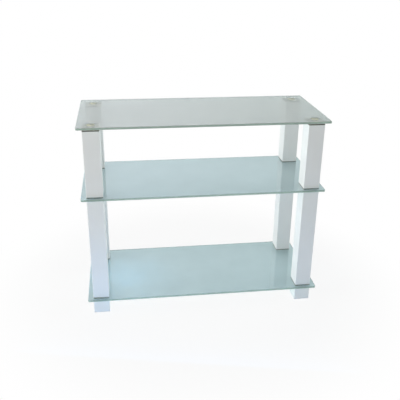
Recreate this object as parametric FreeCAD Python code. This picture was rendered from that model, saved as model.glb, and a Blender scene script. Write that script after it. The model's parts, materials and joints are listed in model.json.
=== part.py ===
import FreeCAD
import Part
import os

from FreeCAD import Vector

# A three-tier stand: frosted glass shelves on four legs of stacked tube, each leg clamped by a tie rod.
# Millimetres. X runs along the width, Y towards the back and Z up.
# The origin is on the floor, under the middle of the stand.

# Glass: three equal panes with rounded corners and a polished bevel along every edge
GLASS_WIDTH = 900.0
GLASS_DEPTH = 400.0
GLASS_THICKNESS = 8.0
GLASS_CORNER_RADIUS = 6.0
GLASS_BEVEL = 0.8
GLASS_HOLE_DIAMETER = 16.0

# Legs: rectangular extruded tube, cut to three lengths
LEG_WIDTH = 60.0
LEG_DEPTH = 68.0
LEG_WALL = 2.0
LEG_EDGE = 1.0
LEG_SIDE_INSET = 20.0
LEG_FRONT_INSET = 14.0
UPPER_LEG_LENGTH = 244.0
LOWER_LEG_LENGTH = 406.0
FOOT_LENGTH = 51.0

# Rubber frames between the tube ends and the glass, a little inside the leg's outline
GASKET_THICKNESS = 2.0
GASKET_INSET = 0.4
GASKET_BAND = 12.0
PAD_THICKNESS = 4.0
PAD_LAP = 5.0

# Tie rod, and the nut and washer that tighten it from under the foot
ROD_DIAMETER = 8.0
ROD_CLEARANCE = 0.3
ROD_TAIL = 2.0
ROD_END_GAP = 1.0
NUT_ACROSS_FLATS = 13.0
NUT_HEIGHT = 6.5
WASHER_THICKNESS = 2.0

# Sleeve that keeps the rod off the edge of a hole in the glass
SLEEVE_CLEARANCE = 0.3

# Disc bonded under the top pane, threaded for the rod
DISC_DIAMETER = 30.0
DISC_THICKNESS = 5.0

# Moulded plug in each tube end: a flush plate, and crossed webs that grip the tube with tapered ends
PLUG_PLATE = 4.0
PLUG_WEB_LENGTH = 14.0
PLUG_CLEARANCE = 0.6
WEB_THICKNESS = 2.5
WEB_LEAD = 4.0

# Moulded cap under each foot, with a square well between its webs that hides the nut
CAP_FLANGE = 4.0
CAP_BEVEL = 1.0
WELL_WIDTH = 22.0
WELL_DEPTH = 16.0
WELL_CEILING = 5.0
WASHER_CLEARANCE = 1.0

# Places of the four legs, the inside of their tube, and the passage for the rod
LEG_X = GLASS_WIDTH / 2 - LEG_SIDE_INSET - LEG_WIDTH / 2
LEG_Y = GLASS_DEPTH / 2 - LEG_FRONT_INSET - LEG_DEPTH / 2
CORNERS = {
    "front_left": Vector(-LEG_X, -LEG_Y, 0),
    "front_right": Vector(LEG_X, -LEG_Y, 0),
    "back_left": Vector(-LEG_X, LEG_Y, 0),
    "back_right": Vector(LEG_X, LEG_Y, 0),
}
TUBE_INSIDE_X = LEG_WIDTH - 2 * LEG_WALL
TUBE_INSIDE_Y = LEG_DEPTH - 2 * LEG_WALL
ROD_HOLE = ROD_DIAMETER + 2 * ROD_CLEARANCE

# Heights of the stack, from the floor up
FOOT_BASE = CAP_FLANGE
FOOT_TOP = FOOT_BASE + FOOT_LENGTH
BOTTOM_GLASS_BASE = FOOT_TOP + GASKET_THICKNESS
BOTTOM_GLASS_TOP = BOTTOM_GLASS_BASE + GLASS_THICKNESS
LOWER_LEG_BASE = BOTTOM_GLASS_TOP + GASKET_THICKNESS
LOWER_LEG_TOP = LOWER_LEG_BASE + LOWER_LEG_LENGTH
MIDDLE_GLASS_BASE = LOWER_LEG_TOP + GASKET_THICKNESS
MIDDLE_GLASS_TOP = MIDDLE_GLASS_BASE + GLASS_THICKNESS
UPPER_LEG_BASE = MIDDLE_GLASS_TOP + GASKET_THICKNESS
UPPER_LEG_TOP = UPPER_LEG_BASE + UPPER_LEG_LENGTH
DISC_BASE = UPPER_LEG_TOP + PAD_THICKNESS
TOP_GLASS_BASE = DISC_BASE + DISC_THICKNESS

WASHER_BASE = WELL_DEPTH - WASHER_THICKNESS
NUT_BASE = WASHER_BASE - NUT_HEIGHT
ROD_BASE = NUT_BASE - ROD_TAIL
ROD_TOP = TOP_GLASS_BASE - ROD_END_GAP

ORIGIN = Vector(0, 0, 0)
ACROSS = Vector(1, 0, 0)
UP = Vector(0, 0, 1)
LEVEL_TOLERANCE = 1e-6


def outline(points):
    """Closed outline with straight sides."""
    return Part.makePolygon(points + points[:1])


def rounded_rectangle(width, depth, radius):
    """Outline of a rectangle with round corners, about the origin."""
    x = width / 2 - radius
    y = depth / 2 - radius
    arcs = []
    for centre, start in ((Vector(x, y, 0), 0), (Vector(-x, y, 0), 90),
                          (Vector(-x, -y, 0), 180), (Vector(x, -y, 0), 270)):
        arcs.append(Part.makeCircle(radius, centre, UP, start, start + 90))
    edges = []
    for arc, following in zip(arcs, arcs[1:] + arcs[:1]):
        edges.append(arc)
        edges.append(Part.makeLine(arc.Vertexes[-1].Point, following.Vertexes[0].Point))
    return Part.Wire(edges)


def rectangle(width, depth):
    """Outline of a rectangle with sharp corners, about the origin."""
    x = width / 2
    y = depth / 2
    return outline([Vector(x, y, 0), Vector(-x, y, 0), Vector(-x, -y, 0), Vector(x, -y, 0)])


def prism(shape_outline, height):
    """Solid that rises from zero."""
    return Part.Face(shape_outline).extrude(UP * height)


def block(width, depth, height):
    return prism(rectangle(width, depth), height)


def eased_block(width, depth, height, edge):
    """Block with a bevel down each of its upright edges."""
    solid = block(width, depth, height)
    upright = [side_edge for side_edge in solid.Edges if side_edge.BoundBox.ZLength > LEVEL_TOLERANCE]
    return solid.makeChamfer(edge, upright)


def cylinder(diameter, height):
    return Part.makeCylinder(diameter / 2, height)


def raised(shape, height):
    return shape.translated(UP * height)


def level_edges(shape, height):
    """The edges of a shape that lie flat at one height."""
    flat = []
    for edge in shape.Edges:
        box = edge.BoundBox
        if abs(box.ZMin - height) < LEVEL_TOLERANCE and abs(box.ZMax - height) < LEVEL_TOLERANCE:
            flat.append(edge)
    return flat


def at_corners(shape):
    """One copy of a shape on each leg."""
    return {corner: shape.translated(place) for corner, place in CORNERS.items()}


def glass_pane():
    pane = prism(rounded_rectangle(GLASS_WIDTH, GLASS_DEPTH, GLASS_CORNER_RADIUS), GLASS_THICKNESS)
    rims = level_edges(pane, 0.0) + level_edges(pane, GLASS_THICKNESS)
    return pane.makeChamfer(GLASS_BEVEL, rims)


def drilled_pane():
    """A pane with a hole over each leg for the tie rod and its sleeve."""
    hole = cylinder(GLASS_HOLE_DIAMETER, GLASS_THICKNESS)
    return glass_pane().cut(list(at_corners(hole).values()))


def leg_tube(length):
    outside = eased_block(LEG_WIDTH, LEG_DEPTH, length, LEG_EDGE)
    return outside.cut(block(TUBE_INSIDE_X, TUBE_INSIDE_Y, length))


def rubber_frame(opening_x, opening_y, thickness):
    """Rubber under or over a tube end, cut out in the middle."""
    outside = block(LEG_WIDTH - 2 * GASKET_INSET, LEG_DEPTH - 2 * GASKET_INSET, thickness)
    return outside.cut(block(opening_x, opening_y, thickness))


def gasket():
    margin = 2 * (GASKET_INSET + GASKET_BAND)
    return rubber_frame(LEG_WIDTH - margin, LEG_DEPTH - margin, GASKET_THICKNESS)


def top_pad():
    """Pad on top of a leg, open in the middle but lapping under the rim of the disc."""
    opening = DISC_DIAMETER - 2 * PAD_LAP
    return rubber_frame(opening, opening, PAD_THICKNESS)


def gripping_web(reach, length):
    """Web across the tube along X, from wall to wall, tapered at the end that enters first."""
    end = reach / 2
    tip = end - PLUG_CLEARANCE
    profile = [
        Vector(-end, 0, 0),
        Vector(end, 0, 0),
        Vector(end, 0, length - WEB_LEAD),
        Vector(tip, 0, length),
        Vector(-tip, 0, length),
        Vector(-end, 0, length - WEB_LEAD),
    ]
    web = Part.Face(outline(profile)).extrude(Vector(0, WEB_THICKNESS, 0))
    return web.translated(Vector(0, -WEB_THICKNESS / 2, 0))


def crossed_webs(length, cell):
    """Two webs each way that leave a square cell between them."""
    place = (cell + WEB_THICKNESS) / 2
    across = gripping_web(TUBE_INSIDE_X, length)
    along = gripping_web(TUBE_INSIDE_Y, length).rotated(ORIGIN, UP, 90)
    webs = []
    for side in (-place, place):
        webs.append(across.translated(Vector(0, side, 0)))
        webs.append(along.translated(Vector(side, 0, 0)))
    return webs


def end_plug():
    """Plug for the lower end of a tube that starts at zero."""
    width = TUBE_INSIDE_X - 2 * PLUG_CLEARANCE
    depth = TUBE_INSIDE_Y - 2 * PLUG_CLEARANCE
    plate = block(width, depth, PLUG_PLATE).cut(block(ROD_HOLE, ROD_HOLE, PLUG_PLATE))
    webs = [raised(web, PLUG_PLATE) for web in crossed_webs(PLUG_WEB_LENGTH, ROD_HOLE)]
    return plate.fuse(webs).removeSplitter()


def foot_cap():
    """Cap that closes a foot and stands on the floor, with a well for the nut."""
    flange = eased_block(LEG_WIDTH, LEG_DEPTH, CAP_FLANGE, LEG_EDGE)
    flange = flange.makeChamfer(CAP_BEVEL, level_edges(flange, 0.0))
    flange = flange.cut(block(WELL_WIDTH, WELL_WIDTH, CAP_FLANGE))
    web_length = WELL_DEPTH + WELL_CEILING - CAP_FLANGE
    webs = [raised(web, CAP_FLANGE) for web in crossed_webs(web_length, WELL_WIDTH)]
    ceiling_width = WELL_WIDTH + WEB_THICKNESS
    ceiling = block(ceiling_width, ceiling_width, WELL_CEILING).cut(block(ROD_HOLE, ROD_HOLE, WELL_CEILING))
    return flange.fuse(webs + [raised(ceiling, WELL_DEPTH)]).removeSplitter()


def top_disc():
    return cylinder(DISC_DIAMETER, DISC_THICKNESS).cut(cylinder(ROD_DIAMETER, DISC_THICKNESS))


def plate_washer():
    """Square washer that can't turn in the well."""
    width = WELL_WIDTH - 2 * WASHER_CLEARANCE
    return block(width, width, WASHER_THICKNESS).cut(cylinder(ROD_HOLE, WASHER_THICKNESS))


def nut():
    corner = ACROSS * (NUT_ACROSS_FLATS / 3 ** 0.5)
    points = [FreeCAD.Rotation(UP, turn).multVec(corner) for turn in range(0, 360, 60)]
    return prism(outline(points), NUT_HEIGHT).cut(cylinder(ROD_DIAMETER, NUT_HEIGHT))


def sleeve():
    """Bush through a hole in the glass, between the plugs above and below it."""
    length = GLASS_THICKNESS + 2 * GASKET_THICKNESS
    outside = cylinder(GLASS_HOLE_DIAMETER - 2 * SLEEVE_CLEARANCE, length)
    return outside.cut(cylinder(ROD_HOLE, length))


def save(name, shape):
    shape.exportStep("parts/" + name + ".step")


def save_at_corners(ending, shape):
    """One node on each leg, named for its corner."""
    for corner, piece in at_corners(shape).items():
        save(corner + "_" + ending, piece)


def save_group(name, shape):
    """One node that holds the same piece on every leg."""
    save(name, Part.makeCompound(list(at_corners(shape).values())))


os.makedirs("parts", exist_ok=True)

save("top_glass", raised(glass_pane(), TOP_GLASS_BASE))
save("middle_glass", raised(drilled_pane(), MIDDLE_GLASS_BASE))
save("bottom_glass", raised(drilled_pane(), BOTTOM_GLASS_BASE))

save_at_corners("upper_leg", raised(leg_tube(UPPER_LEG_LENGTH), UPPER_LEG_BASE))
save_at_corners("lower_leg", raised(leg_tube(LOWER_LEG_LENGTH), LOWER_LEG_BASE))
save_at_corners("foot", raised(leg_tube(FOOT_LENGTH), FOOT_BASE))
save_at_corners("foot_cap", foot_cap())

save_group("top_discs", raised(top_disc(), DISC_BASE))
save_at_corners("top_pad", raised(top_pad(), UPPER_LEG_TOP))
save_at_corners("middle_upper_gasket", raised(gasket(), MIDDLE_GLASS_TOP))
save_at_corners("middle_lower_gasket", raised(gasket(), LOWER_LEG_TOP))
save_at_corners("bottom_upper_gasket", raised(gasket(), BOTTOM_GLASS_TOP))
save_at_corners("bottom_lower_gasket", raised(gasket(), FOOT_TOP))

save_at_corners("tie_rod", raised(cylinder(ROD_DIAMETER, ROD_TOP - ROD_BASE), ROD_BASE))
save_group("tie_rod_washers", raised(plate_washer(), WASHER_BASE))
save_group("tie_rod_nuts", raised(nut(), NUT_BASE))
save_group("middle_glass_sleeves", raised(sleeve(), LOWER_LEG_TOP))
save_group("bottom_glass_sleeves", raised(sleeve(), FOOT_TOP))

base_plug = end_plug()
top_plug = base_plug.rotated(ORIGIN, ACROSS, 180)
save_group("upper_leg_top_plugs", raised(top_plug, UPPER_LEG_TOP))
save_group("upper_leg_base_plugs", raised(base_plug, UPPER_LEG_BASE))
save_group("lower_leg_top_plugs", raised(top_plug, LOWER_LEG_TOP))
save_group("lower_leg_base_plugs", raised(base_plug, LOWER_LEG_BASE))
save_group("foot_top_plugs", raised(top_plug, FOOT_TOP))
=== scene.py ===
# %% [markdown]
# A three-tier stand of frosted glass on four white legs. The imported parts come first, because each piece
# below takes its size and place from them. Measuring from the parts is better than typing sizes a second
# time: the looks then follow the construction by themselves.

# %% Load the parts
import json
from math import pi, radians

import bmesh
import bpy
from mathutils import Matrix, Vector

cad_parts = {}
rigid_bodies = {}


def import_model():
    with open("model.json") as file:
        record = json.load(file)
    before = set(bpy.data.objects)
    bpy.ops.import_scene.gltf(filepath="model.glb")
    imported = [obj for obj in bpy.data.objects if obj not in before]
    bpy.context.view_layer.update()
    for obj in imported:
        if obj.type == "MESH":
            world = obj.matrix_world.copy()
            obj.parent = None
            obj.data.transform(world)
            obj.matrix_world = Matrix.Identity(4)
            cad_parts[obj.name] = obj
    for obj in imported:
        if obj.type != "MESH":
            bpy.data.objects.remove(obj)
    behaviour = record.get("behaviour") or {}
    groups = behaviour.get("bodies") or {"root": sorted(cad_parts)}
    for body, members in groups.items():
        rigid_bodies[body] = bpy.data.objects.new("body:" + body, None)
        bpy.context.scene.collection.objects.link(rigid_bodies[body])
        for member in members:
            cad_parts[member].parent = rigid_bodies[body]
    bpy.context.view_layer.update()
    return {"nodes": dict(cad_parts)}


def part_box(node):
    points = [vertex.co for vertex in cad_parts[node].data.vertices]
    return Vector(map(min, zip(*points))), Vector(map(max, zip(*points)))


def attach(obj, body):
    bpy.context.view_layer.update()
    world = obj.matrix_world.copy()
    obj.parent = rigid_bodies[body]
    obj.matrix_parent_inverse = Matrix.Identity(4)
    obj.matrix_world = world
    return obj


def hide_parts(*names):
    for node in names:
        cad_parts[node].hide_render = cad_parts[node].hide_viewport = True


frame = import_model()
nodes = frame["nodes"]
bpy.context.scene.view_settings.view_transform = "Standard"

# %% [markdown]
# The camera stands in front, a little left of the middle and well above the top pane, and looks down. It
# could be aimed at a point, but three plain turns say more: how far it turns sideways, how far it tips up
# from looking straight down, and how far it leans.

# %% Camera
CAMERA_PLACE = (-0.2926, -2.1354, 1.3083)
CAMERA_TURN = radians(-7.94)
CAMERA_TIP = radians(66.63)
CAMERA_LEAN = radians(0.655)
LENS_MM = 52.56

bpy.ops.object.camera_add()
camera = bpy.context.object
camera.matrix_world = (
    Matrix.Translation(CAMERA_PLACE)
    @ Matrix.Rotation(CAMERA_TURN, 4, "Z")
    @ Matrix.Rotation(CAMERA_TIP, 4, "X")
    @ Matrix.Rotation(CAMERA_LEAN, 4, "Z")
)
camera.data.lens = LENS_MM
bpy.context.scene.camera = camera
print("camera at", CAMERA_PLACE, "with a lens of", LENS_MM, "mm")

# %% [markdown]
# A few helpers serve every finish. The first turns a colour as a screen shows it into the linear numbers
# that shaders count in. Two more turn millimetres into the scale of a pattern. The next adds a node: each
# input is given a plain value, or the output that feeds it. The last starts an empty material.

# %% Helpers for finishes
MIX_A, MIX_B, MIX_RESULT = 6, 7, 2  # the colour sockets of a Mix node, which share their names with others
WAVE_TURN = 20  # radians that a wave texture of scale 1 turns through in a metre


def linear(hex_colour):
    """An sRGB hex colour as a linear one."""
    channels = [int(hex_colour[i:i + 2], 16) / 255 for i in (0, 2, 4)]
    return [c / 12.92 if c <= 0.04045 else ((c + 0.055) / 1.055) ** 2.4 for c in channels] + [1.0]


def per_metre(size_mm):
    """The scale of a noise whose features are about this many millimetres across."""
    return 1000 / size_mm


def waves_per_metre(length_mm):
    """The scale of a wave texture whose waves are this many millimetres long."""
    return 2 * pi / WAVE_TURN * 1000 / length_mm


def add_node(tree, kind, inputs=None, **settings):
    made = tree.nodes.new(kind)
    for name, value in settings.items():
        setattr(made, name, value)
    for name, value in (inputs or {}).items():
        if isinstance(value, bpy.types.NodeSocket):
            tree.links.new(value, made.inputs[name])
        else:
            made.inputs[name].default_value = value
    return made


def new_finish(name):
    """An empty material, its node tree, and the coordinates that its patterns follow."""
    material = bpy.data.materials.new(name)
    material.use_nodes = True
    tree = material.node_tree
    tree.nodes.clear()
    return material, tree, add_node(tree, "ShaderNodeTexCoord").outputs["Object"]


print("helpers ready; a mid grey of 808080 is", round(linear("808080")[0], 3))

# %% [markdown]
# The legs are extruded aluminium with a white polyester powder coat, sprayed on dry and melted in an oven.
# As it melts the coat draws up into a faint orange peel, and its thickness drifts from place to place, so
# the eye gets a satin white that is never quite even. Paint on a smooth surface would look like plastic.

# %% White powder coat
PEEL_MM = 2.4  # real orange peel is under 1 mm, drawn coarser so that it shows
PEEL_STRENGTH, PEEL_HEIGHT = 0.12, 0.0002
DRIFT_MM = 130
COAT_WHITES = ("EDEEEC", "E5E6E4")
COAT_ROUGHNESS = (0.34, 0.46)


def white_powder_coat():
    material, tree, place = new_finish("white_powder_coat")
    drift = add_node(tree, "ShaderNodeTexNoise", {
        "Vector": place, "Scale": per_metre(DRIFT_MM), "Detail": 3.0})
    peel = add_node(tree, "ShaderNodeTexNoise", {
        "Vector": place, "Scale": per_metre(PEEL_MM), "Detail": 2.0})
    colour = add_node(tree, "ShaderNodeMix", {
        0: drift.outputs[0], MIX_A: linear(COAT_WHITES[0]), MIX_B: linear(COAT_WHITES[1])}, data_type="RGBA")
    satin = add_node(tree, "ShaderNodeMapRange", {
        "Value": drift.outputs[0], "To Min": COAT_ROUGHNESS[0], "To Max": COAT_ROUGHNESS[1]})
    bump = add_node(tree, "ShaderNodeBump", {
        "Height": peel.outputs[0], "Strength": PEEL_STRENGTH, "Distance": PEEL_HEIGHT})
    surface = add_node(tree, "ShaderNodeBsdfPrincipled", {
        "Base Color": colour.outputs[MIX_RESULT], "Roughness": satin.outputs[0], "Normal": bump.outputs[0]})
    add_node(tree, "ShaderNodeOutputMaterial", {"Surface": surface.outputs[0]})
    return material


powder_coat = white_powder_coat()
print("made", powder_coat.name)

# %% [markdown]
# Each pane is soda-lime float glass, polished on top and etched with acid underneath. The polished face
# mirrors what stands on it, and the etched one blurs what lies below, more the farther away it is. Both
# faces are real glass here, so the two effects come by themselves. The shelves are etched more deeply than
# the top, and a coat on their polished face gives it a second mirror, for the light that the underside
# sends back. The etched face also scatters a small share of the light, which makes the glass milky. Lamps
# can't be found through bent rays, so their light passes straight through, dimmed and tinted.

# %% Etched float glass
GLASS_IOR = 1.52
ETCH_CLOUD_MM = 90
ETCH_DRIFT = 0.15  # share by which the etch is finer or coarser from place to place
PASSED_BY_FACE = "E6ECEC"
PASSED_BY_EDGE = "B9D2C6"
SECOND_MIRROR_ROUGHNESS = 0.03


def let_lamps_through(tree, glass, tint):
    """Puts glass on the surface, and has it only tint the light of the lamps."""
    passed = add_node(tree, "ShaderNodeBsdfTransparent", {"Color": linear(tint)})
    ray = add_node(tree, "ShaderNodeLightPath")
    either = add_node(tree, "ShaderNodeMixShader", {
        0: ray.outputs["Is Shadow Ray"], 1: glass.outputs[0], 2: passed.outputs[0]})
    add_node(tree, "ShaderNodeOutputMaterial", {"Surface": either.outputs[0]})


def float_glass(name, light, dark, roughness, clear, coat):
    """A face of glass, cloudy with etching where it is rough."""
    material, tree, place = new_finish(name)
    cloud = add_node(tree, "ShaderNodeTexNoise", {
        "Vector": place, "Scale": per_metre(ETCH_CLOUD_MM), "Detail": 3.0})
    tint = add_node(tree, "ShaderNodeMix", {
        0: cloud.outputs[0], MIX_A: linear(light), MIX_B: linear(dark)}, data_type="RGBA")
    etch = add_node(tree, "ShaderNodeMapRange", {
        "Value": cloud.outputs[0],
        "To Min": roughness * (1 - ETCH_DRIFT),
        "To Max": roughness * (1 + ETCH_DRIFT)})
    glass = add_node(tree, "ShaderNodeBsdfPrincipled", {
        "Base Color": tint.outputs[MIX_RESULT], "Roughness": etch.outputs[0], "IOR": GLASS_IOR,
        "Transmission Weight": clear, "Coat Weight": coat, "Coat Roughness": SECOND_MIRROR_ROUGHNESS,
        "Coat IOR": GLASS_IOR})
    let_lamps_through(tree, glass, PASSED_BY_FACE)
    return material


# The top and the shelves are one glass. Their tints are partly its own pale colour and partly painted light:
# the top's greyer, warmer tint is painted warm light from above, and the shelves' bluer one is painted cool
# light from low down.
TOP_TINT_AND_PAINTED_WARM_LIGHT = ("C7C8C4", "BFC0BC")
SHELF_TINT_AND_PAINTED_COOL_LIGHT = ("BFD1D3", "B7C9CB")
POLISHED = {"roughness": 0.06, "clear": 1.0}
TOP_ETCH = {"roughness": 0.24, "clear": 0.85}
SHELF_ETCH = {"roughness": 0.65, "clear": 0.85}
top_faces = (
    float_glass("float_glass_top_polished_face", *TOP_TINT_AND_PAINTED_WARM_LIGHT, **POLISHED, coat=0.0),
    float_glass("float_glass_top_etched_face", *TOP_TINT_AND_PAINTED_WARM_LIGHT, **TOP_ETCH, coat=0.0))
shelf_faces = (
    float_glass("float_glass_shelf_polished_face", *SHELF_TINT_AND_PAINTED_COOL_LIGHT, **POLISHED, coat=1.0),
    float_glass("float_glass_shelf_etched_face", *SHELF_TINT_AND_PAINTED_COOL_LIGHT, **SHELF_ETCH, coat=0.0))
print("made", [face.name for face in top_faces + shelf_faces])

# %% [markdown]
# The edges of a pane are ground and then polished. Light reaches them after a long way through the glass,
# and the iron in it takes out the red, so an edge is a deeper green than the face. That path can't be
# traced quickly, so the edge has the green as its own colour, with fine lines left by the grinding wheel.

# %% Ground glass edge
GRIND_MM = 1.2  # real wheel marks are about 0.1 mm, drawn coarser so that they show
ALONG_EDGE = (0.05, 0.05, 1.0)  # draws the marks out along the edge
EDGE_GREENS = ("B2C6BA", "9CB5A7")
EDGE_ROUGHNESS = (0.12, 0.26)
EDGE_CLEAR = 0.35


def ground_edge():
    material, tree, place = new_finish("float_glass_ground_edge")
    along = add_node(tree, "ShaderNodeMapping", {"Vector": place, "Scale": ALONG_EDGE})
    marks = add_node(tree, "ShaderNodeTexNoise", {
        "Vector": along.outputs[0], "Scale": per_metre(GRIND_MM), "Detail": 2.0})
    green = add_node(tree, "ShaderNodeMix", {
        0: marks.outputs[0], MIX_A: linear(EDGE_GREENS[0]), MIX_B: linear(EDGE_GREENS[1])}, data_type="RGBA")
    polish = add_node(tree, "ShaderNodeMapRange", {
        "Value": marks.outputs[0], "To Min": EDGE_ROUGHNESS[0], "To Max": EDGE_ROUGHNESS[1]})
    glass = add_node(tree, "ShaderNodeBsdfPrincipled", {
        "Base Color": green.outputs[MIX_RESULT], "Roughness": polish.outputs[0], "IOR": GLASS_IOR,
        "Transmission Weight": EDGE_CLEAR})
    let_lamps_through(tree, glass, PASSED_BY_EDGE)
    return material


glass_edge = ground_edge()
print("made", glass_edge.name)

# %% [markdown]
# Among the smaller parts are rubber, foam tape and moulded plastic. These finishes differ only in colour,
# grain and shine, so one function makes them all from those facts. Die-cut rubber is the dullest, and a
# moulding takes a little shine from its mould.

# %% Rubber and plastics
GRAIN_HEIGHT = 0.0002
ROUGHNESS_SWING = 0.06  # rougher and smoother by this much over the grain


def grained(name, light, dark, grain_mm, roughness, depth):
    """A dull surface with a moulded or cut grain."""
    material, tree, place = new_finish(name)
    grain = add_node(tree, "ShaderNodeTexNoise", {
        "Vector": place, "Scale": per_metre(grain_mm), "Detail": 4.0})
    colour = add_node(tree, "ShaderNodeMix", {
        0: grain.outputs[0], MIX_A: linear(light), MIX_B: linear(dark)}, data_type="RGBA")
    rough = add_node(tree, "ShaderNodeMapRange", {
        "Value": grain.outputs[0],
        "To Min": roughness - ROUGHNESS_SWING,
        "To Max": roughness + ROUGHNESS_SWING})
    bump = add_node(tree, "ShaderNodeBump", {
        "Height": grain.outputs[0], "Strength": depth, "Distance": GRAIN_HEIGHT})
    surface = add_node(tree, "ShaderNodeBsdfPrincipled", {
        "Base Color": colour.outputs[MIX_RESULT], "Roughness": rough.outputs[0], "Normal": bump.outputs[0]})
    add_node(tree, "ShaderNodeOutputMaterial", {"Surface": surface.outputs[0]})
    return material


gasket_rubber = grained("grey_epdm_rubber", "74756C", "5F6057", grain_mm=1.5, roughness=0.78, depth=0.25)
pale_rubber = grained("pale_silicone_rubber", "D0D1C9", "C2C3BB", grain_mm=1.5, roughness=0.7, depth=0.25)
pad_rubber = grained("black_epdm_rubber", "55564E", "41423B", grain_mm=1.5, roughness=0.78, depth=0.25)
pad_tape = grained("grey_acrylic_foam_tape", "D6D6CA", "C8C8BC", grain_mm=1.5, roughness=0.7, depth=0.2)
cap_nylon = grained("white_moulded_nylon", "E6E8E9", "DDE0E2", grain_mm=1.0, roughness=0.5, depth=0.15)
plug_plastic = grained("black_polypropylene", "2B2B2C", "1E1E1F", grain_mm=1.0, roughness=0.55, depth=0.2)
sleeve_nylon = grained("natural_nylon", "DAD7C8", "CFCBB8", grain_mm=1.0, roughness=0.45, depth=0.1)
dull = (gasket_rubber, pale_rubber, pad_rubber, pad_tape, cap_nylon, plug_plastic, sleeve_nylon)
print("made", [finish.name for finish in dull])

# %% [markdown]
# Brass and steel are cut on a machine, which leaves rings on the disc and a thread on the rod. Both are
# waves: round the middle of the leg for the rings, and up the rod for the thread. Modelling the thread
# would take thousands of faces that stay inside the legs, so a bump is enough.

# %% Brass and steel
TURNING_MM = 0.9  # rings left by the lathe tool, drawn coarser than the real 0.2 mm so that they show
TURNING_STRENGTH, TURNING_HEIGHT = 0.2, 0.0001
BRASS_YELLOWS = ("E2DCB6", "CEC89F")
BRASS_ROUGHNESS = (0.28, 0.4)
THREAD_PITCH_MM = 1.25  # M8 coarse thread
THREAD_STRENGTH, THREAD_HEIGHT = 0.5, 0.0004
MOTTLE_MM = 4
ZINC_GREYS = ("C9CDD1", "A9AEB4")
ZINC_ROUGHNESS = (0.25, 0.42)
leg_low, leg_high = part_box("back_right_foot")
LEG_CENTRE = (leg_low + leg_high) / 2


def turned_brass():
    """Rings about the middle of each leg. The legs mirror each other, so one centre serves all four."""
    material, tree, place = new_finish("turned_brass")
    folded = add_node(tree, "ShaderNodeVectorMath", {0: place}, operation="ABSOLUTE")
    centred = add_node(tree, "ShaderNodeMapping", {
        "Vector": folded.outputs[0], "Location": (-LEG_CENTRE.x, -LEG_CENTRE.y, 0.0)})
    rings = add_node(tree, "ShaderNodeTexWave", {
        "Vector": centred.outputs[0], "Scale": waves_per_metre(TURNING_MM)},
        wave_type="RINGS", rings_direction="Z")
    colour = add_node(tree, "ShaderNodeMix", {
        0: rings.outputs[1], MIX_A: linear(BRASS_YELLOWS[0]), MIX_B: linear(BRASS_YELLOWS[1])},
        data_type="RGBA")
    bump = add_node(tree, "ShaderNodeBump", {
        "Height": rings.outputs[1], "Strength": TURNING_STRENGTH, "Distance": TURNING_HEIGHT})
    rough = add_node(tree, "ShaderNodeMapRange", {
        "Value": rings.outputs[1], "To Min": BRASS_ROUGHNESS[0], "To Max": BRASS_ROUGHNESS[1]})
    surface = add_node(tree, "ShaderNodeBsdfPrincipled", {
        "Base Color": colour.outputs[MIX_RESULT], "Metallic": 1.0, "Roughness": rough.outputs[0],
        "Normal": bump.outputs[0]})
    add_node(tree, "ShaderNodeOutputMaterial", {"Surface": surface.outputs[0]})
    return material


def zinc_plated_steel():
    """Thread ridges up the rod, over a bright plating that is a little mottled."""
    material, tree, place = new_finish("zinc_plated_steel")
    ridges = add_node(tree, "ShaderNodeTexWave", {
        "Vector": place, "Scale": waves_per_metre(THREAD_PITCH_MM)}, bands_direction="Z")
    mottle = add_node(tree, "ShaderNodeTexNoise", {
        "Vector": place, "Scale": per_metre(MOTTLE_MM), "Detail": 3.0})
    colour = add_node(tree, "ShaderNodeMix", {
        0: mottle.outputs[0], MIX_A: linear(ZINC_GREYS[0]), MIX_B: linear(ZINC_GREYS[1])}, data_type="RGBA")
    rough = add_node(tree, "ShaderNodeMapRange", {
        "Value": mottle.outputs[0], "To Min": ZINC_ROUGHNESS[0], "To Max": ZINC_ROUGHNESS[1]})
    bump = add_node(tree, "ShaderNodeBump", {
        "Height": ridges.outputs[1], "Strength": THREAD_STRENGTH, "Distance": THREAD_HEIGHT})
    surface = add_node(tree, "ShaderNodeBsdfPrincipled", {
        "Base Color": colour.outputs[MIX_RESULT], "Metallic": 1.0, "Roughness": rough.outputs[0],
        "Normal": bump.outputs[0]})
    add_node(tree, "ShaderNodeOutputMaterial", {"Surface": surface.outputs[0]})
    return material


brass = turned_brass()
steel = zinc_plated_steel()
print("made", brass.name, "and", steel.name)

# %% [markdown]
# The inner parts keep the shape that they were built with, since only their finish was missing. A few
# words in a part's name say what it is made of.

# %% Finish the inner parts
INNER_FINISHES = {"foot_cap": cap_nylon, "plugs": plug_plastic, "sleeves": sleeve_nylon, "tie_rod": steel}
finished = 0
for name, node in nodes.items():
    for words, finish in INNER_FINISHES.items():
        if words in name:
            node.data.materials.clear()
            node.data.materials.append(finish)
            finished += 1
print("gave", finished, "inner parts their finish")

# %% [markdown]
# Modelling by hand means adding a shape, choosing some of its edges or faces and working on those. These
# helpers do the same. Everything is deselected first, because a tool works on all that is selected. What
# gets chosen is decided by where an edge lies, or by which way a face looks.

# %% Helpers for modelling
SAME = 1e-6  # two heights closer than this count as one
FLAT = 0.9  # a face whose normal stands higher than this looks straight up
SOFT_ANGLE = radians(35)  # edges sharper than this stay crisp


def only(piece):
    """Makes a piece the one selected object."""
    bpy.ops.object.select_all(action="DESELECT")
    piece.select_set(True)
    bpy.context.view_layer.objects.active = piece


def add_block(name, low, high):
    """A block between two corners, with its place in its mesh."""
    bpy.ops.object.select_all(action="DESELECT")
    bpy.ops.mesh.primitive_cube_add(size=1, location=(low + high) / 2, scale=high - low)
    bpy.ops.object.transform_apply(location=True, rotation=True, scale=True)
    bpy.context.object.name = name
    return bpy.context.object


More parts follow.
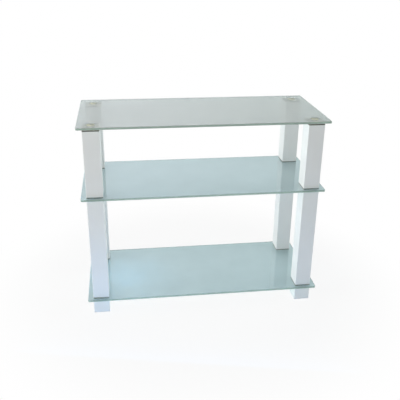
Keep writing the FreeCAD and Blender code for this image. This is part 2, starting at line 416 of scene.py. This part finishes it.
def choose(piece, kind, wanted):
    """In edit mode, selects just the edges or faces that pass a test."""
    bpy.ops.mesh.select_mode(type=kind)
    bpy.ops.mesh.select_all(action="DESELECT")
    form = bmesh.from_edit_mesh(piece.data)
    for part in form.edges if kind == "EDGE" else form.faces:
        part.select_set(wanted(part))
    bmesh.update_edit_mesh(piece.data)


def upright(edge):
    return abs(edge.verts[0].co.z - edge.verts[1].co.z) > SAME


def level(edge):
    return not upright(edge)


def end_face(face):
    return abs(face.normal.z) > FLAT


def cut_out(piece, cutter):
    """Takes the cutter's shape out of a piece, and throws the cutter away."""
    only(piece)
    bpy.ops.object.modifier_add(type="BOOLEAN")
    piece.modifiers[-1].object = cutter
    bpy.ops.object.modifier_apply(modifier=piece.modifiers[-1].name)
    only(cutter)
    bpy.ops.object.delete()


def cut_window(piece, low, high, across, along):
    """Cuts an oblong hole straight down through the middle of a piece."""
    middle = (low + high) / 2
    reach = Vector((across / 2, along / 2, high.z - low.z))
    cut_out(piece, add_block("cutter", middle - reach, middle + reach))


def smooth(piece):
    """Soft shading over the rounded edges, with the flats kept flat."""
    only(piece)
    bpy.ops.object.shade_smooth_by_angle(angle=SOFT_ANGLE)
    bpy.ops.object.modifier_add(type="WEIGHTED_NORMAL")
    piece.modifiers[-1].keep_sharp = True
    bpy.ops.object.modifier_apply(modifier=piece.modifiers[-1].name)


def copy_of(piece, name, shift):
    """A copy with its own mesh, moved by shift."""
    only(piece)
    bpy.ops.object.duplicate(linked=False)
    bpy.ops.transform.translate(value=shift)
    bpy.ops.object.transform_apply(location=True, rotation=False, scale=False)
    bpy.context.object.name = name
    return bpy.context.object


def stand_for(piece, node):
    """The piece takes the place of a part."""
    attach(piece, "root")
    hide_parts(node)


CORNERS = ("front_left", "front_right", "back_left", "back_right")


def at_each_corner(first, ending, suffix):
    """Copies the front left piece to the other legs, and stands each for its own part."""
    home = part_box(CORNERS[0] + ending)[0]
    for corner in CORNERS:
        node = corner + ending
        piece = first if corner == CORNERS[0] else copy_of(first, node + suffix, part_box(node)[0] - home)
        stand_for(piece, node)


print("modelling helpers ready")

# %% [markdown]
# A pane starts as a block. Its four upright edges are rounded into the corners, and then the rims get a
# fine bevel, the arris, which a glass cutter always leaves so that the edge doesn't cut. The lower two
# panes are drilled for the rods. The faces are told apart by the way they look: up, down or sideways.

# %% Glass panes
CORNER_RADIUS, CORNER_STEPS = 0.006, 8
ARRIS, ARRIS_STEPS = 0.0008, 2
HOLE_RADIUS, HOLE_SIDES = 0.008, 48
DRILL_LENGTH = 0.05
EDGE_LEAN = 0.3  # a face whose normal leans up or down by less than this belongs to the edge
POLISHED_FACE, ETCHED_FACE, GROUND_EDGE = 0, 1, 2  # the order of a pane's finishes


def glass_pane(node):
    pane = add_block(node + "_pane", *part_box(node))
    bpy.ops.object.mode_set(mode="EDIT")
    choose(pane, "EDGE", upright)
    bpy.ops.mesh.bevel(offset=CORNER_RADIUS, segments=CORNER_STEPS, affect="EDGES")
    choose(pane, "EDGE", level)
    bpy.ops.mesh.bevel(offset=ARRIS, segments=ARRIS_STEPS, affect="EDGES")
    bpy.ops.object.mode_set(mode="OBJECT")
    return pane


def drill(pane):
    """A hole for the rod at each leg."""
    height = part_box(pane.name.removesuffix("_pane"))[0].z
    for corner in CORNERS:
        low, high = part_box(corner + "_foot")
        place = (low + high) / 2
        bpy.ops.object.select_all(action="DESELECT")
        bpy.ops.mesh.primitive_cylinder_add(vertices=HOLE_SIDES, radius=HOLE_RADIUS, depth=DRILL_LENGTH,
                                            location=(place.x, place.y, height))
        cut_out(pane, bpy.context.object)


def finish_of(face):
    """Which of a pane's finishes a face gets, by the way it looks."""
    if face.normal.z > EDGE_LEAN:
        return POLISHED_FACE
    return ETCHED_FACE if face.normal.z < -EDGE_LEAN else GROUND_EDGE


for node in ("top_glass", "middle_glass", "bottom_glass"):
    pane = glass_pane(node)
    if node != "top_glass":
        drill(pane)
    pane.data.materials.clear()
    faces = top_faces if node == "top_glass" else shelf_faces
    for finish in (*faces, glass_edge):
        pane.data.materials.append(finish)
    for face in pane.data.polygons:
        face.material_index = finish_of(face)
    smooth(pane)
    stand_for(pane, node)
    print(pane.name, "has", len(pane.data.polygons), "faces")

# %% [markdown]
# A leg is tube, cut to three lengths. Drawing the section and sweeping it would work, but two blocks are
# quicker: round the upright edges of one, and cut the other, smaller by the wall, out of its middle.
# Insetting the ends would fail here, because a wall thicker than the corner's radius folds the corners
# over. The cut ends get a fine bevel, which is where the eye finds a bright line at each joint.

# %% Leg tubes
TUBE_WALL = 0.002
TUBE_EDGE, TUBE_EDGE_STEPS = 0.0016, 4
CUT_EDGE, CUT_EDGE_STEPS = 0.0004, 2


def leg_tube(node):
    low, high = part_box(node)
    size = high - low
    tube = add_block(node + "_tube", low, high)
    bpy.ops.object.mode_set(mode="EDIT")
    choose(tube, "EDGE", upright)
    bpy.ops.mesh.bevel(offset=TUBE_EDGE, segments=TUBE_EDGE_STEPS, affect="EDGES")
    choose(tube, "EDGE", level)
    bpy.ops.mesh.bevel(offset=CUT_EDGE, segments=CUT_EDGE_STEPS, affect="EDGES")
    bpy.ops.object.mode_set(mode="OBJECT")
    cut_window(tube, low, high, size.x - 2 * TUBE_WALL, size.y - 2 * TUBE_WALL)
    tube.data.materials.clear()
    tube.data.materials.append(powder_coat)
    smooth(tube)
    return tube


for ending in ("_upper_leg", "_lower_leg", "_foot"):
    tube = leg_tube(CORNERS[0] + ending)
    at_each_corner(tube, ending, "_tube")
    print("four tubes like", tube.name, "with", len(tube.data.polygons), "faces each")

# %% [markdown]
# Rubber lies between every tube end and the glass, die-cut from sheet as a frame. Clamped hard, its outer
# edge swells a little, so the rim is rounded here and not left square. A block does the work of the die,
# and cuts the window out of the middle. Gaskets and pads are alike, apart from thickness and window. The
# gaskets under a pane are pale, since dark ones would show through the glass as a shadow in front of each
# leg. A pad has pale tape on its upper face, which shows through the top pane.

# %% Gaskets and pads
GASKET_BAND = 0.012
DISC_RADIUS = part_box("top_discs")[1].x - LEG_CENTRE.x
PAD_LAP = 0.005  # of the pad under the disc
RUBBER_CORNER, RUBBER_CORNER_STEPS = 0.0012, 4
RUBBER_SWELL, RUBBER_SWELL_STEPS = 0.0006, 3
RUBBER_SIDE, TAPE_SIDE = 0, 1  # the order of a pad's finishes


def rubber_of(node):
    """Black for a pad, pale for a gasket under a pane and grey for one on top."""
    if "pad" in node:
        return pad_rubber
    return pale_rubber if "lower_gasket" in node else gasket_rubber


def rubber_frame(node):
    low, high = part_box(node)
    size = high - low
    across = 2 * (DISC_RADIUS - PAD_LAP) if "pad" in node else size.x - 2 * GASKET_BAND
    along = across if "pad" in node else size.y - 2 * GASKET_BAND
    rubber_piece = add_block(node + "_rubber", low, high)
    bpy.ops.object.mode_set(mode="EDIT")
    choose(rubber_piece, "EDGE", upright)
    bpy.ops.mesh.bevel(offset=RUBBER_CORNER, segments=RUBBER_CORNER_STEPS, affect="EDGES")
    choose(rubber_piece, "EDGE", level)
    bpy.ops.mesh.bevel(offset=RUBBER_SWELL, segments=RUBBER_SWELL_STEPS, affect="EDGES")
    bpy.ops.object.mode_set(mode="OBJECT")
    cut_window(rubber_piece, low, high, across, along)
    rubber_piece.data.materials.clear()
    rubber_piece.data.materials.append(rubber_of(node))
    if "pad" in node:
        rubber_piece.data.materials.append(pad_tape)
        for face in rubber_piece.data.polygons:
            face.material_index = TAPE_SIDE if face.normal.z > FLAT else RUBBER_SIDE
    smooth(rubber_piece)
    return rubber_piece


for ending in ("_top_pad", "_middle_upper_gasket", "_middle_lower_gasket", "_bottom_upper_gasket",
               "_bottom_lower_gasket"):
    frame_piece = rubber_frame(CORNERS[0] + ending)
    at_each_corner(frame_piece, ending, "_rubber")
    print("four frames like", frame_piece.name, "with", len(frame_piece.data.polygons), "faces each")

# %% [markdown]
# A disc is bonded under the top pane over each leg, and the rod screws into it. It is turned from brass
# bar, so it starts as a cylinder. The rims are eased. For the thread's hole both ends are inset, and the
# two small faces in the middle are bridged. A plain bore is enough, because the rod fills it.

# %% Bonded discs
DISC_SIDES = 96
THREAD_RADIUS = 0.004
DISC_EASE, DISC_EASE_STEPS = 0.0005, 2


def bonded_disc(name, corner):
    low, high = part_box("top_discs")
    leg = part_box(corner + "_foot")
    place = (leg[0] + leg[1]) / 2
    bpy.ops.object.select_all(action="DESELECT")
    bpy.ops.mesh.primitive_cylinder_add(vertices=DISC_SIDES, radius=DISC_RADIUS, depth=high.z - low.z,
                                        location=(place.x, place.y, (low.z + high.z) / 2))
    bpy.ops.object.transform_apply(location=True, rotation=True, scale=True)
    disc = bpy.context.object
    disc.name = name
    bpy.ops.object.mode_set(mode="EDIT")
    choose(disc, "EDGE", level)
    bpy.ops.mesh.bevel(offset=DISC_EASE, segments=DISC_EASE_STEPS, affect="EDGES")
    choose(disc, "FACE", end_face)
    bpy.ops.mesh.inset(thickness=DISC_RADIUS - DISC_EASE - THREAD_RADIUS)
    bpy.ops.mesh.bridge_edge_loops()
    bpy.ops.object.mode_set(mode="OBJECT")
    disc.data.materials.append(brass)
    smooth(disc)
    stand_for(disc, "top_discs")


for corner in CORNERS:
    bonded_disc(corner + "_bonded_disc", corner)
print("four bonded discs")

# %% [markdown]
# The floor is a pale card that fades into plain white away from the stand. Near the stand it is part card
# and part glow, so that it still takes the stand's shadow. Light that bounces about sees only the card, so
# the glow never lights the stand. What glass shows or mirrors counts as seen. It meets a cool white on the
# left and a slightly warmer, dimmer one on the right, as in a room with a window on one side.

# %% Floor and surroundings
FLOOR_SIZE = 80.0
CARD = "F2F4F5"
SHADOW_SHARE = 0.12  # of the card in what is seen near the stand
FADE_FROM, FADE_TO = 0.5, 0.95  # metres from the middle
AMBIENT = 0.18
FLOOR_SHADE = (-0.2, 1.0)  # metres across the floor, from the cool side to the warm one
SKY_SHADE = (0.0, 0.35)  # the same for directions, where 1 is straight to the right
WINDOW_SIDE, FAR_SIDE = "F1FAFF", "DEEAEB"


def seen_rays(tree):
    """One for rays that end in the picture, straight or by glass, and zero for light that bounces about."""
    ray = add_node(tree, "ShaderNodeLightPath")
    seen = ray.outputs["Is Camera Ray"]
    for name in ("Is Glossy Ray", "Is Transmission Ray"):
        either = add_node(tree, "ShaderNodeMath", {0: seen, 1: ray.outputs[name]}, operation="MAXIMUM")
        seen = either.outputs[0]
    return seen


def daylight(tree, place, cool, warm):
    """Plain white seen straight on, and graded from left to right in glass."""
    across = add_node(tree, "ShaderNodeSeparateXYZ", {0: place})
    shade = add_node(tree, "ShaderNodeMapRange", {
        "Value": across.outputs["X"], "From Min": cool, "From Max": warm})
    in_glass = add_node(tree, "ShaderNodeMix", {
        0: shade.outputs[0], MIX_A: linear(WINDOW_SIDE), MIX_B: linear(FAR_SIDE)}, data_type="RGBA")
    ray = add_node(tree, "ShaderNodeLightPath")
    white = add_node(tree, "ShaderNodeMix", {
        0: ray.outputs["Is Camera Ray"], MIX_A: in_glass.outputs[MIX_RESULT], MIX_B: linear("FFFFFF")},
        data_type="RGBA")
    return white.outputs[MIX_RESULT]


def pale_card():
    material, tree, place = new_finish("pale_card")
    distance = add_node(tree, "ShaderNodeVectorMath", {0: place}, operation="LENGTH")
    seen_glow = add_node(tree, "ShaderNodeMapRange", {
        "Value": distance.outputs["Value"], "From Min": FADE_FROM, "From Max": FADE_TO,
        "To Min": 1 - SHADOW_SHARE, "To Max": 1.0}, interpolation_type="SMOOTHSTEP")
    glow_share = add_node(tree, "ShaderNodeMath", {0: seen_glow.outputs[0], 1: seen_rays(tree)},
                          operation="MULTIPLY")
    card = add_node(tree, "ShaderNodeBsdfDiffuse", {"Color": linear(CARD)})
    glow = add_node(tree, "ShaderNodeEmission", {"Color": daylight(tree, place, *FLOOR_SHADE)})
    floor_mix = add_node(tree, "ShaderNodeMixShader", {0: glow_share.outputs[0], 1: card.outputs[0],
                                                       2: glow.outputs[0]})
    add_node(tree, "ShaderNodeOutputMaterial", {"Surface": floor_mix.outputs[0]})
    return material


bpy.ops.object.select_all(action="DESELECT")
bpy.ops.mesh.primitive_plane_add(size=FLOOR_SIZE)
floor = bpy.context.object
floor.name = "floor"
floor.data.materials.append(pale_card())

world = bpy.data.worlds.new("white_surroundings")
world.use_nodes = True
air = world.node_tree
air.nodes.clear()
strength = add_node(air, "ShaderNodeMapRange", {"Value": seen_rays(air), "To Min": AMBIENT, "To Max": 1.0})
direction = add_node(air, "ShaderNodeTexCoord").outputs["Generated"]
sky = add_node(air, "ShaderNodeBackground", {"Color": daylight(air, direction, *SKY_SHADE),
                                             "Strength": strength.outputs[0]})
add_node(air, "ShaderNodeOutputWorld", {"Surface": sky.outputs[0]})
bpy.context.scene.world = world
print("floor", FLOOR_SIZE, "m wide, surroundings at", AMBIENT)

# %% [markdown]
# The light is that of a studio with a far wall of light on the left, the right and behind. A far lamp
# lights near and far legs alike, while a close one would burn out the left legs before it reached the
# right ones. The left wall is the strongest, so left faces are the brightest. A softbox overhead and one
# in front fill in, and a low cool strip stands for the bluish light that the floor throws on the feet. The
# lamps are kept out of mirrors, where they would draw hard squares on the glass.

# %% Lamps
MIDDLE = Vector((0.0, 0.0, 0.35))
LAMPS = {  # place, size, watts and colour
    "left_wall": ((-12.0, -2.0, 2.8), (8.0, 5.0), 1040, "FFFEFD"),
    "right_wall": ((12.0, -1.5, 2.6), (8.0, 5.0), 960, "FFFEFD"),
    "overhead_softbox": ((-1.0, 0.2, 2.3), (2.0, 1.6), 12, "FFF5EC"),
    "front_softbox": ((-0.8, -1.9, 0.7), (0.8, 0.8), 5.5, "FFF9F1"),
    "back_wall": ((1.0, 12.0, 2.2), (8.0, 4.0), 400, "FFFFFF"),
    "low_front_strip": ((-0.12, -0.55, 0.04), (1.2, 0.08), 0.75, "44AEFF"),
}


def add_lamp(name, place, aim, size, watts, colour):
    bpy.ops.object.light_add(type="AREA", location=place)
    lamp = bpy.context.object
    lamp.name = name
    lamp.rotation_mode = "QUATERNION"
    lamp.rotation_quaternion = (aim - lamp.location).to_track_quat("-Z", "Y")
    lamp.data.shape = "RECTANGLE"
    lamp.data.size, lamp.data.size_y = size
    lamp.data.energy = watts
    lamp.data.color = linear(colour)[:3]
    lamp.visible_camera = False
    lamp.visible_glossy = False
    return lamp


for name, (place, size, watts, colour) in LAMPS.items():
    add_lamp(name, place, MIDDLE, size, watts, colour)
print(len(LAMPS), "lamps")

# %% [markdown]
# A patch of cool daylight lies on the left end of the bottom shelf. A lamp close enough to make it would
# also turn the legs beside it blue, so this one is linked to the bottom pane and lights nothing else.

# %% Patch of daylight
PATCH_PLACE = (-0.31, -0.02, 0.36)
PATCH_AIM = Vector((-0.31, -0.02, 0.0))
PATCH_SIZE = (0.2, 0.1)
PATCH_WATTS = 0.2
PATCH_SPREAD = radians(70)
PATCH_COLOUR = "70C4FF"

lit_by_patch = bpy.data.collections.new("lit_by_patch")
lit_by_patch.objects.link(bpy.data.objects["bottom_glass_pane"])
patch = add_lamp("daylight_patch", PATCH_PLACE, PATCH_AIM, PATCH_SIZE, PATCH_WATTS, PATCH_COLOUR)
patch.data.spread = PATCH_SPREAD
patch.light_linking.receiver_collection = lit_by_patch

# %% [markdown]
# The left faces of the right legs should be nearly white, which is more than the left wall gives them. A
# stronger wall would burn out the left legs, so a second far lamp on that side is linked to the right legs
# alone. It stands a little behind the stand, where it can't reach the fronts of the legs.

# %% Light for the right legs
SIDE_PLACE = (-12.0, 2.0, 2.0)
SIDE_SIZE = (3.0, 3.0)
SIDE_WATTS = 200
SIDE_COLOUR = "F7F7FF"

lit_from_left = bpy.data.collections.new("lit_from_left")
for piece in bpy.data.objects:
    if piece.name.endswith("_tube") and "_right_" in piece.name:
        lit_from_left.objects.link(piece)
side_lamp = add_lamp("right_leg_light", SIDE_PLACE, MIDDLE, SIDE_SIZE, SIDE_WATTS, SIDE_COLOUR)
side_lamp.light_linking.receiver_collection = lit_from_left
